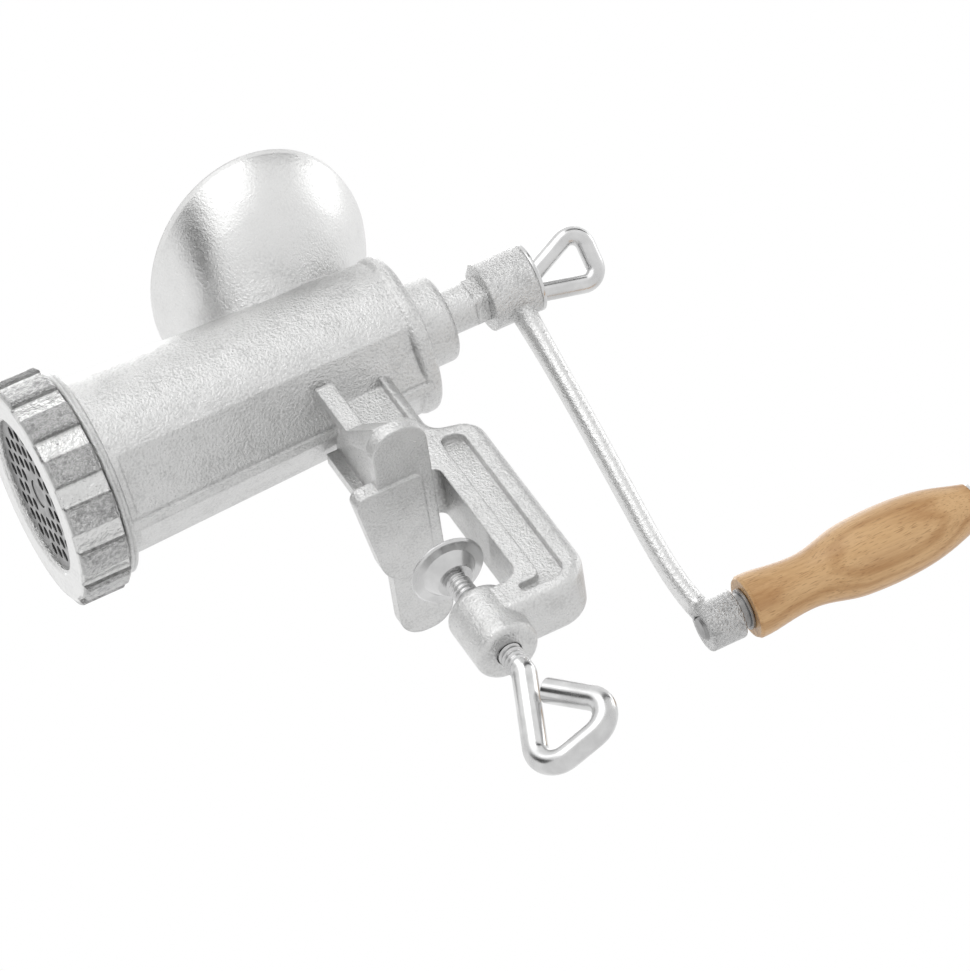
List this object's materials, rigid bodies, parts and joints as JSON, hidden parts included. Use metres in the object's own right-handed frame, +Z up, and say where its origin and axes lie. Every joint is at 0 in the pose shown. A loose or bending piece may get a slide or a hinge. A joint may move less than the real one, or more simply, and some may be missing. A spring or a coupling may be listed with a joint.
{
  "type": "hand crank meat grinder",
  "caption": "Tinned cast iron hand crank meat grinder with an oval hopper, scalloped ring nut, wooden crank grip and a table clamp with a bent wire handle.",
  "frame": {"origin": "on the clamp screw's axis, in the plane of the upper jaw's table face", "axes": "+Z up along the clamp screw, +X back along the barrel towards the crank, +Y completes a right-handed frame"},
  "size_m": [0.2935, 0.1257, 0.2651],
  "materials": {
    "tinned_iron": "bright tinned casting, satin, fine sand-cast grain",
    "plated_steel": "bright plated steel",
    "tool_steel": "ground steel",
    "beech_wood": "satin varnished beech"
  },
  "bodies": {
    "housing": {"body_casting": "tinned_iron", "plate_pin": "tool_steel", "thrust_washer": "tool_steel"},
    "rotor": {"feed_screw": "tinned_iron", "knife_stud": "tool_steel", "knife": "tool_steel", "crank_arm": "tinned_iron", "grip_spindle": "plated_steel", "grip_inner_washer": "plated_steel", "grip_end_washer": "plated_steel"},
    "grip": {"wooden_grip": "beech_wood"},
    "pad": {"clamp_pad": "plated_steel"},
    "clamp_handle": {"clamp_screw": "plated_steel", "pad_rivet": "plated_steel"},
    "plate": {"grinding_plate": "tool_steel"},
    "ring": {"ring_nut": "tinned_iron"},
    "retainer": {"crank_washer": "plated_steel"},
    "thumb_screw": {"crank_screw": "plated_steel"}
  },
  "joints": [
    {"name": "crank_turn", "type": "hinge", "parent": "housing", "child": "rotor", "pos_m": [0, 0, 0.085], "axis": [1, 0, 0], "continuous": true},
    {"name": "grip_spin", "type": "hinge", "parent": "rotor", "child": "grip", "pos_m": [0.14, 0.05942, -0.04243], "axis": [1, 0, 0], "continuous": true},
    {"name": "clamp_travel", "type": "slide", "parent": "housing", "child": "pad", "axis": [0, 0, 1], "range_m": [-0.013, 0.008]},
    {"name": "clamp_screw_turn", "type": "hinge", "parent": "pad", "child": "clamp_handle", "pos_m": [0, 0, -0.05], "axis": [0, 0, 1], "continuous": true},
    {"name": "ring_travel", "type": "slide", "parent": "housing", "child": "plate", "axis": [-1, 0, 0], "range_m": [0, 0.012]},
    {"name": "ring_turn", "type": "hinge", "parent": "plate", "child": "ring", "pos_m": [-0.09, 0, 0.085], "axis": [-1, 0, 0], "continuous": true},
    {"name": "thumb_screw_travel", "type": "slide", "parent": "rotor", "child": "retainer", "axis": [1, 0, 0], "range_m": [0, 0.01]},
    {"name": "thumb_screw_turn", "type": "hinge", "parent": "retainer", "child": "thumb_screw", "pos_m": [0.08, 0, 0.085], "axis": [1, 0, 0], "continuous": true}
  ],
  "couplings": [
    {"joint": "clamp_screw_turn", "follows": "clamp_travel", "rad_per_m": 3141.6},
    {"joint": "ring_turn", "follows": "ring_travel", "rad_per_m": 2094.4},
    {"joint": "thumb_screw_turn", "follows": "thumb_screw_travel", "rad_per_m": 5026.5}
  ]
}
